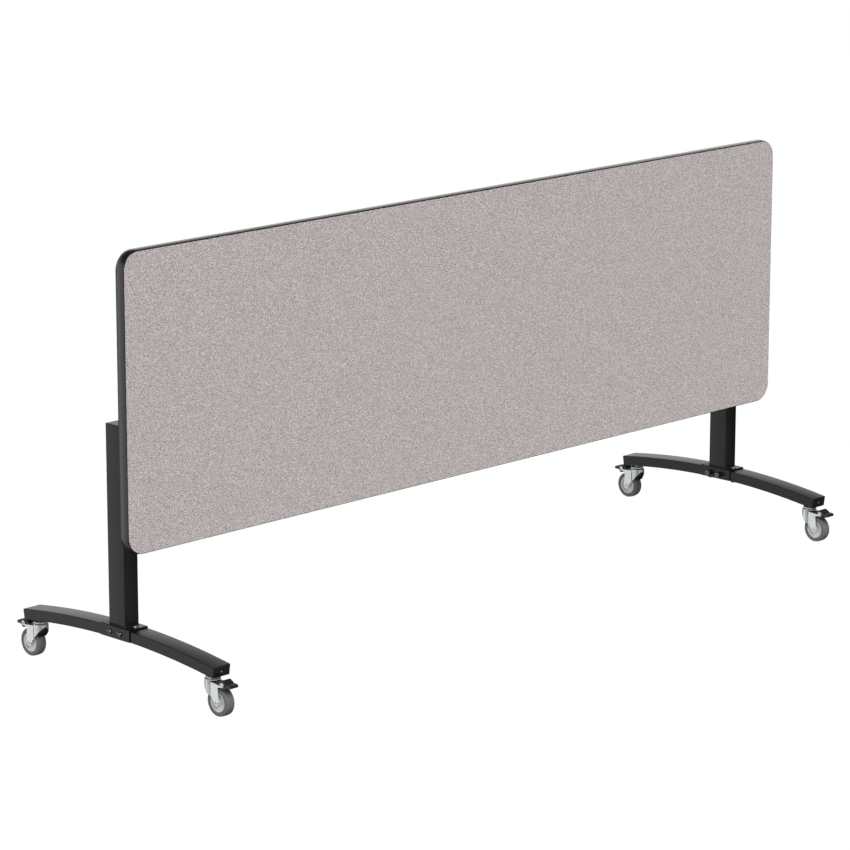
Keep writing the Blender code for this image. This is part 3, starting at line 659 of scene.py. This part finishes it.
def make_saddle(middle, name):
    """Folded plate over the foot with its four bolts."""
    inner, outer = FOOT[0] / 2 + GAP, SADDLE_OUTSIDE
    bottom, under = FOOT_TOP - FOOT[1] + 0.2, FOOT_TOP + GAP
    bend = arc((outer - SADDLE_BEND, PLATE_TOP - SADDLE_BEND), SADDLE_BEND, 0, 90, 6)
    right = [(inner, bottom), (outer, bottom)] + bend
    left = [(-a, z) for a, z in reversed(right)]
    outline = right + left + [(-inner, under), (inner, under)]
    plate = loft([[(middle + a, y, z) for a, z in outline]
                  for y in (-SADDLE_HALF_LENGTH, SADDLE_HALF_LENGTH)])
    piece(f"{name}_saddle_plate", plate, "paint", "frame", [f"{name}_saddle"], bevel=0.35)

    outward = math.copysign(1.0, middle)
    for end, end_name in ((-1, "front"), (1, "rear")):
        side = bolt_shapes(SADDLE_OUTSIDE + GAP, -SADDLE_OUTSIDE - GAP, SIDE_NUT_LENGTH)
        place = at(middle, end * SIDE_BOLT_Y, SIDE_BOLT_Z, turn=(0.0, 90.0 * outward, 0.0))
        make_bolt(f"{name}_{end_name}_side", side, place, "dark_steel")
        down = bolt_shapes(PLATE_TOP + GAP, FOOT_TOP - FOOT[1] - 0.8, DOWN_NUT_LENGTH)
        make_bolt(f"{name}_{end_name}_down", down, at(middle, end * DOWN_BOLT_Y, 0.0), "screw")


# ---------------------------------------------------------------- beam, brackets and release

def screw(head_radius, length):
    """Pan-head screw with a cross recess; its head stands on z 0."""
    rows = [(-length, 0.4), (-length + 2.0, head_radius * 0.42), (0.0, head_radius * 0.45),
            (0.0, head_radius)]
    for angle in (15, 35, 55, 75):
        turn = math.radians(angle)
        rows.append((head_radius * (0.12 + 0.34 * math.sin(turn)), head_radius * math.cos(turn)))
    head = turned(rows, 28)
    arm, slot, deep = head_radius * 0.55, head_radius * 0.13, head_radius * 0.18
    cutters = []
    for a, b in ((arm, slot), (slot, arm)):
        outline = [(-a, -b), (a, -b), (a, b), (-a, b)]
        cutters.append(loft([[(x, y, z) for x, y in outline] for z in (deep, head_radius)]))
    return boolean(head, "DIFFERENCE", cutters)


def make_fittings():
    """The beam's welds and all the screws between the legs, then the release bar and its lever."""
    repaint("cross_beam", "paint", 0.4)
    column_face = LEG_X - COLUMN[0] / 2 - GAP
    for side, name in ((-1, "left"), (1, "right")):
        repaint(f"{name}_pivot_bracket", "paint", 0.3)
        repaint(f"{name}_hinge_plate", "paint", 0.3)
        inward = (0.0, -90.0 * side, 0.0)
        flange = column_face - FLANGE_THICKNESS
        path = bead_path(*BEAM_HALF, BEAM_CORNER,
                         lambda a, b: Vector((side * flange, a, BEAM_MID_Z + b)),
                         lambda a, b: Vector((0, a, b)), Vector((-side, 0, 0)))
        piece(f"{name}_beam_weld", weld_bead(path, BEAM_WELD), "weld", "frame", sharp=50.0)
        for number, (y, z) in enumerate(FLANGE_SCREWS, start=1):
            piece(f"{name}_flange_screw_{number}", screw(4.2, 7.0), "dark_steel", "frame",
                  place=at(side * flange, y, BEAM_MID_Z + z, turn=inward))
        bracket = column_face - BRACKET_THICKNESS
        for number, (y, z) in enumerate(BRACKET_SCREWS, start=1):
            piece(f"{name}_bracket_screw_{number}", screw(4.0, 6.0), "dark_steel", "frame",
                  place=at(side * bracket, y, z, turn=inward))
        ear = bracket - HINGE_EAR - HINGE_EAR_GAP
        spots = [(ear - column, row) for column in HINGE_SCREW_COLUMNS for row in HINGE_SCREW_ROWS]
        for number, (x, z) in enumerate(spots, start=1):
            place = at(side * x, PANEL_BACK_Y + HINGE_PLATE_FACE, PIVOT_Z + z,
                       turn=(-90.0, 0.0, 0.0))
            piece(f"{name}_hinge_screw_{number}", screw(3.8, 14.0), "bright", "panel", place=place)
    repaint("release_bar", "zinc")
    make_handle()


def make_handle():
    """Moulded lever on the release bar, with a finger pad and grip ribs."""
    outline = arc((0.0, 0.0), LEVER_BOSS, -35, 215, 28)
    outline += curve([(0.5, -30.0), (3.5, -55.0), (6.0, -84.0)]) + [(7.6, -85.0), (10.4, -84.6)]
    outline += curve([(12.6, -79.0), (10.8, -55.0), (8.6, -30.0)])
    lever = prism(outline, -LEVER_HALF_WIDTH, LEVER_HALF_WIDTH)
    bore = turned([(-30.0, LEVER_BORE), (30.0, LEVER_BORE)], 32, "X")
    lever = boolean(lever, "DIFFERENCE", [bore])
    spot = at(0.0, BAR_Y, PIVOT_Z)
    piece("release_lever", lever, "nylon", "release", ["release_handle"], place=spot, bevel=1.2)
    rib = rounded(13.0, 0.9, 0.8, 4)
    ribs = []
    for step in range(RIB_COUNT):
        down = step * RIB_PITCH
        face = 10.2 + 2.0 * (down + 20.0) / 49.0
        ribs.append(loft([[(a * scale, face + out, -50.0 - down + b * scale) for a, b in rib]
                          for out, scale in ((-1.5, 1.0), (0.5, 1.0), (0.9, 0.93))]))
    piece("release_lever_ribs", merge(ribs), "nylon", "release", place=spot)


# ---------------------------------------------------------------- castors

def crown_plan(inset):
    """Top view of the fork: a round nose, shoulders that curve in, then the flat legs."""
    radius, half = CROWN_RADIUS - inset, FORK_HALF - inset
    shoulder = [(half, 62.0), (half, 8.6), (half - 0.35, 8.3), (half - 1.2, 8.1),
                (half - 1.2, 7.4), (half + 0.2, 6.1), (radius - 0.6, 1.3), (radius - 0.15, 0.5)]
    nose = arc((0.0, 0.0), radius, 0, -180, 44)
    return shoulder + nose + [(-x, y) for x, y in reversed(shoulder)]


def fork_side():
    """Side view of the fork: crown, arm for the pedal, tapering leg and slanting lead edge."""
    outline = [(-28.0, 95.0), (4.0, 95.0), (5.4, 88.0)]
    outline += curve([(7.4, 86.2), (12.0, 85.4), (43.6, 82.6)], 4)
    outline += arc(PEDAL_PIN, 5.9, 204, -108, 26)
    outline += curve([(42.0, 77.9), (36.4, 77.4), (34.0, 75.6), (34.6, 68.0), (36.0, 55.0),
                      (37.4, 40.0)], 5)
    outline += arc(AXLE, 9.0, 5, -140, 18)
    outline += curve([(13.6, 45.4), (3.5, 53.0), (-5.8, 63.0), (-12.0, 71.3), (-17.9, 79.5),
                      (-20.9, 84.7), (-28.0, 92.0)], 5)
    return outline


def fork_shape():
    """Pressed steel fork: rolled crown edge, a slit behind each shoulder, a hole for the stem."""
    roll = CROWN_TOP - CROWN_ROLL
    rows = [(0.0, 20.0), (0.0, roll)]
    for angle in (18, 36, 54, 72, 90):
        turn = math.radians(angle)
        rows.append((CROWN_ROLL * (1 - math.cos(turn)), roll + CROWN_ROLL * math.sin(turn)))
    shell = loft([[(x, y, z) for x, y in crown_plan(inset)] for inset, z in rows])
    hollow = loft([[(x, y, z) for x, y in crown_plan(FORK_WALL)]
                   for z in (10.0, CROWN_TOP - FORK_WALL)])
    inside = FORK_HALF - FORK_WALL
    open_end = prism([(20.0, 10.0), (80.0, 10.0), (80.0, 110.0), (20.0, 110.0)], -inside, inside)
    fork = boolean(shell, "DIFFERENCE", [hollow, open_end])
    fork = boolean(fork, "INTERSECT", [prism(fork_side(), -40.0, 40.0)])
    slit = prism([(7.0, 53.5), (8.4, 53.5), (8.4, 84.4), (7.0, 84.4)], -40.0, 40.0)
    hole = turned([(80.0, STEM_HOLE), (100.0, STEM_HOLE)], 32)
    return boolean(fork, "DIFFERENCE", [hole, slit])


def pedal_shape():
    """Two-step foot pedal round its pin, with grip grooves across its top."""
    top = curve([(-18.4, 3.0), (-13.0, 6.2), (-8.0, 8.8), (-3.0, 11.0), (0.5, 11.2)], 4)
    top += curve([(3.0, 9.6), (5.2, 8.0), (8.0, 7.6), (10.0, 5.4), (12.5, 3.2)], 3)
    top += curve([(14.6, 3.7), (17.0, 2.9), (19.4, 3.5), (22.0, 2.7), (24.6, 2.9), (27.2, 1.2),
                  (28.2, -1.6)], 4)
    under = curve([(27.6, -4.4), (24.6, -5.6), (18.0, -5.2), (12.0, -6.2), (9.0, -9.0),
                   (6.0, -12.4), (3.0, -13.0), (-4.0, -11.0), (-10.0, -8.6)], 4)
    outline = [(-23.5, -4.1), (-18.6, -4.1)] + top + under + [(-23.2, -8.6)]
    body = prism(outline, -13.5, 13.5)
    pocket = prism([(12.0, -8.0), (23.5, -8.0), (23.5, -2.0), (14.0, -2.4)], -11.0, 11.0)
    bore = turned([(-30.0, 2.8), (30.0, 2.8)], 28, "X")
    return boolean(body, "DIFFERENCE", [pocket, bore])


def shoe_shape():
    """Curved brake shoe round its pin: lever under the crown, hooked tail beside the tread."""
    centre = (AXLE[0] - SHOE_PIN[0], AXLE[1] - SHOE_PIN[1])
    inner = arc(centre, WHEEL_RADIUS + SHOE_CLEARANCE, 106, 151, 22)
    tail = curve([(-12.4, -25.4), (-17.0, -18.0), (-21.4, -9.5), (-23.0, -3.0), (-20.5, 1.6),
                  (-14.0, 3.0), (-4.0, 3.0)], 5)
    outline = inner + tail[1:] + [(24.6, 3.0), (24.6, -1.5), (18.5, -1.5)]
    plan_radius = CROWN_RADIUS - FORK_WALL - 0.7
    side = math.degrees(math.asin(SHOE_HALF_WIDTH / plan_radius))
    nose = arc((0.0, 0.0), plan_radius, 270 - side, 270 + side, 24)
    plan = [(-SHOE_HALF_WIDTH, 62.0)] + nose + [(SHOE_HALF_WIDTH, 62.0)]
    inside = loft([[(x, y - SHOE_PIN[0], z) for x, y in plan] for z in (-100.0, 100.0)])
    shoe = boolean(prism(outline, -30.0, 30.0), "INTERSECT", [inside])
    return boolean(shoe, "DIFFERENCE", [turned([(-30.0, 2.1), (30.0, 2.1)], 24, "X")])


def mirrored(half):
    """The other half of a profile that is the same on both sides."""
    return [(-along, radius) for along, radius in reversed(half)]


def pin_shape(reach, radius, dome):
    """Riveted cross pin with domed ends and a centre dimple, along X."""
    half = [(reach - dome, radius), (reach - dome * 0.35, radius * 0.94), (reach, radius * 0.74),
            (reach, radius * 0.50), (reach - dome * 1.6, radius * 0.38),
            (reach - dome * 1.8, radius * 0.06)]
    return turned(mirrored(half) + half, 28, "X")


def hub_shape():
    """Wheel hub with a bearing boss, a dished web and the rim that the tyre sits on."""
    bore = 4.2
    half = [(-14.2, bore), (-14.2, 6.6), (-13.8, 7.3), (-11.4, 7.6), (-10.6, 8.6), (-9.6, 10.0),
            (-9.2, 17.0), (-9.8, 18.2), (-11.2, 18.9), (-11.6, 19.6), (-11.6, 23.6), (-11.9, 24.4),
            (-12.0, 25.45)]
    return turned(half + mirrored(half), 64, "X", ring=True)


def tyre_shape():
    """Tyre with a fine groove in each side, round shoulders and a slightly crowned tread."""
    edge, shoulder = -TYRE_HALF_WIDTH, WHEEL_RADIUS - 0.6 - TYRE_SHOULDER
    half = [(edge + 1.0, TYRE_INNER), (edge + 0.15, TYRE_INNER + 0.4), (edge, TYRE_INNER + 1.2),
            (edge, 28.2), (edge + 0.25, 28.6), (edge + 0.25, 29.1), (edge, 29.5), (edge, shoulder)]
    for angle in (20, 40, 60, 80):
        turn = math.radians(angle)
        half.append((edge + TYRE_SHOULDER - TYRE_SHOULDER * math.cos(turn),
                     shoulder + TYRE_SHOULDER * math.sin(turn)))
    half += [(edge + 6.0, 36.75), (edge + 9.5, WHEEL_RADIUS)]
    return turned(half + mirrored(half), 96, "X", ring=True)


def head_shapes():
    """The castor's turned pieces on its stem: dish, collar, seal, king rivet and crown race."""
    base, top = HEAD_BASE, CROWN_TOP
    cup = [(base - 0.2, 12.0), (base - 0.1, 16.8), (base + 0.3, 17.9), (base + 0.9, 18.3),
           (base + 3.8, 18.3), (base + 4.3, 17.9), (base + 4.5, 17.0), (base + 4.1, 15.4),
           (base + 2.4, 14.2), (base + 1.8, 10.4)]
    collar = [(base + 1.8, 8.8), (base + 7.6, 8.8), (base + 8.2, 8.2), (base + 9.2, 8.0),
              (base + 9.2, 5.0), (120.0, 5.0)]
    seal = [(base - 0.4, 15.5), (base - 0.4, 18.6), (base - 0.1, 19.0), (base + 0.5, 18.8),
            (base + 0.6, 15.5)]
    rivet = [(83.5, 5.6), (83.2, 7.4), (84.0, 8.2), (86.5, 8.6), (90.0, 8.6), (93.0, 4.8)]
    race = [(top - 1.9, 8.7), (top - 1.9, 17.2), (top - 3.4, 17.5), (top - 3.4, 19.0),
            (top - 3.0, 19.4), (top - 0.9, 19.4), (top - 0.3, 19.0), (top - 0.05, 18.2),
            (top - 0.05, 8.7)]
    return (turned(cup, 64), turned(collar, 40), turned(seal, 64, ring=True), turned(rivet, 40),
            turned(race, 64, ring=True))


def castor_shapes():
    """Every castor piece in the castor's frame: name, shape, look, body, replaced node, bevel."""
    cup, collar, seal, rivet, race = head_shapes()
    washer = [(15.0, 4.3), (15.0, 7.6), (14.4, 8.0), (14.3, 4.3)]
    washers = merge([turned([(side * a, r) for a, r in washer], 32, "X", ring=True)
                     for side in (-1, 1)])
    swivel, wheel = "{}_swivel", "{}_wheel"
    axle, pedal_pin, shoe_pin = (0.0, *AXLE), (0.0, *PEDAL_PIN), (0.0, *SHOE_PIN)
    return [
        ("head_cup", cup, "race", "frame", "castor_head", 0.0),
        ("head_collar", collar, "bright", "frame", None, 0.0),
        ("head_seal", seal, "seal", "frame", None, 0.0),
        ("king_rivet", rivet, "zinc", swivel, None, 0.0),
        ("crown_race", race, "race", swivel, None, 0.0),
        ("fork_body", fork_shape(), "zinc", swivel, "fork", 0.45),
        ("pedal_pin", moved(pin_shape(17.9, 3.3, 0.9), pedal_pin), "bright", swivel, None, 0.0),
        ("shoe_pin", moved(pin_shape(19.9, 2.0, 0.5), shoe_pin), "bright", swivel, None, 0.0),
        ("axle_rivet", moved(pin_shape(18.4, 5.4, 1.5), axle), "bright", swivel, "axle", 0.0),
        ("wheel_hub", moved(hub_shape(), axle), "hub", wheel, "hub", 0.0),
        ("hub_washers", moved(washers, axle), "seal", wheel, None, 0.0),
        ("wheel_tyre", moved(tyre_shape(), axle), "tyre", wheel, "tyre", 0.0),
        ("pedal_lever", moved(pedal_shape(), pedal_pin), "nylon", "{}_pedal", "brake_pedal", 0.5),
        ("shoe_lever", moved(shoe_shape(), shoe_pin), "nylon", "{}_shoe", "brake_shoe", 0.5),
    ]


def make_castors():
    """Four castors, their wheels trailing outwards, from one set of meshes."""
    shapes = castor_shapes()
    meshes = {}
    for side, side_name in ((-1, "left"), (1, "right")):
        for end, end_name in ((-1, "front"), (1, "rear")):
            name = f"{side_name}_{end_name}"
            turn = (0.0, 0.0, 0.0 if end > 0 else 180.0)
            place = at(side * LEG_X, end * SWIVEL_Y, 0.0, turn=turn)
            for label, shape, look, body, node, bevel in shapes:
                replaced = [f"{name}_{node}"] if node else []
                if label not in meshes:
                    meshes[label] = piece_mesh(f"{name}_{label}", shape, look)
                set_piece(f"{name}_{label}", meshes[label], body.format(name), replaced,
                          place, bevel)


# ---------------------------------------------------------------- stage

def make_key_light():
    """One wide, soft lamp from beside the camera."""
    data = bpy.data.lights.new("key_light", "SUN")
    data.energy = KEY_STRENGTH
    data.angle = math.radians(KEY_SPREAD)
    lamp = bpy.data.objects.new("key_light", data)
    azimuth, elevation = math.radians(KEY_AZIMUTH), math.radians(KEY_ELEVATION)
    toward = Vector((math.cos(elevation) * math.cos(azimuth),
                     math.cos(elevation) * math.sin(azimuth), math.sin(elevation)))
    lamp.rotation_euler = toward.to_track_quat("Z", "Y").to_euler()
    COLLECTION.objects.link(lamp)


def make_world():
    """Soft walls of light near the horizon, measured by height and by compass direction."""
    world = bpy.data.worlds.new("studio_world")
    bpy.context.scene.world = world
    world.use_nodes = True
    nodes, links = world.node_tree.nodes, world.node_tree.links
    coords = nodes.new("ShaderNodeTexCoord")
    split = nodes.new("ShaderNodeSeparateXYZ")
    links.new(coords.outputs["Generated"], split.inputs["Vector"])
    height = nodes.new("ShaderNodeMapRange")
    height.inputs["From Min"].default_value = -1.0
    links.new(split.outputs["Z"], height.inputs["Value"])
    compass = nodes.new("ShaderNodeTexGradient")
    compass.gradient_type = "RADIAL"
    links.new(coords.outputs["Generated"], compass.inputs["Vector"])
    product = nodes.new("ShaderNodeVectorMath")
    product.operation = "MULTIPLY"
    stops = [((place + 1) / 2, (level, level, level)) for place, level in WORLD_HEIGHTS]
    links.new(add_ramp(nodes, links, height.outputs["Result"], stops), product.inputs[0])
    above = nodes.new("ShaderNodeMapRange")
    above.inputs["From Min"].default_value = -HORIZON_BLEND
    above.inputs["From Max"].default_value = HORIZON_BLEND
    links.new(split.outputs["Z"], above.inputs["Value"])
    mix = nodes.new("ShaderNodeMix")
    mix.data_type = "RGBA"
    links.new(above.outputs["Result"], mix.inputs["Factor"])
    for socket, profile in ((MIX_A, WORLD_LOW), (MIX_B, WORLD_HIGH)):
        stops = [((angle + 180) / 360, (level, level, level)) for angle, level in profile]
        links.new(add_ramp(nodes, links, compass.outputs["Fac"], stops), mix.inputs[socket])
    links.new(mix.outputs[MIX_RESULT], product.inputs[1])
    background = nodes["Background"]
    links.new(product.outputs["Vector"], background.inputs["Color"])
    background.inputs["Strength"].default_value = WORLD_STRENGTH


def make_floor():
    """Pale floor that stays white and doesn't light the object."""
    look, nodes, links, shader = new_look("studio_floor", 0.9, specular=0.0)
    shade = add_ramp(nodes, links, add_noise(nodes, links, 0.4, 1.0),
                     [(NOISE_LOW, (0.020, 0.020, 0.020)), (NOISE_HIGH, (0.025, 0.025, 0.025))])
    links.new(shade, shader.inputs["Base Color"])
    shader.inputs["Emission Color"].default_value = (1.0, 1.0, 1.0, 1.0)
    shader.inputs["Emission Strength"].default_value = 1.0
    bm = bmesh.new()
    bmesh.ops.create_grid(bm, x_segments=8, y_segments=8, size=FLOOR_HALF)
    mesh = bpy.data.meshes.new("studio_floor")
    bm.to_mesh(mesh)
    bm.free()
    mesh.materials.append(look)
    floor = bpy.data.objects.new("studio_floor", mesh)
    floor.visible_diffuse = False
    floor.visible_glossy = False
    floor.visible_shadow = False
    COLLECTION.objects.link(floor)


def make_camera():
    """Long-lens camera, set by its spot, tilt, heading and roll."""
    data = bpy.data.cameras.new("camera")
    data.sensor_width = CAMERA_SENSOR
    data.lens = CAMERA_LENS
    data.clip_end = CAMERA_REACH
    camera = bpy.data.objects.new("camera", data)
    camera.location = CAMERA_SPOT
    aim = Euler((math.radians(CAMERA_TILT), 0.0, math.radians(CAMERA_HEADING))).to_matrix()
    roll = Matrix.Rotation(math.radians(CAMERA_ROLL), 3, "Z")
    camera.rotation_euler = (aim @ roll).to_euler()
    COLLECTION.objects.link(camera)
    bpy.context.scene.camera = camera
    bpy.context.scene.view_settings.view_transform = "Standard"


make_panel()
for leg_side, leg_name in ((-1, "left"), (1, "right")):
    make_column(leg_side * LEG_X, leg_name)
    make_foot(leg_side * LEG_X, leg_name)
    make_saddle(leg_side * LEG_X, leg_name)
make_fittings()
make_castors()
make_floor()
make_world()
make_key_light()
make_camera()
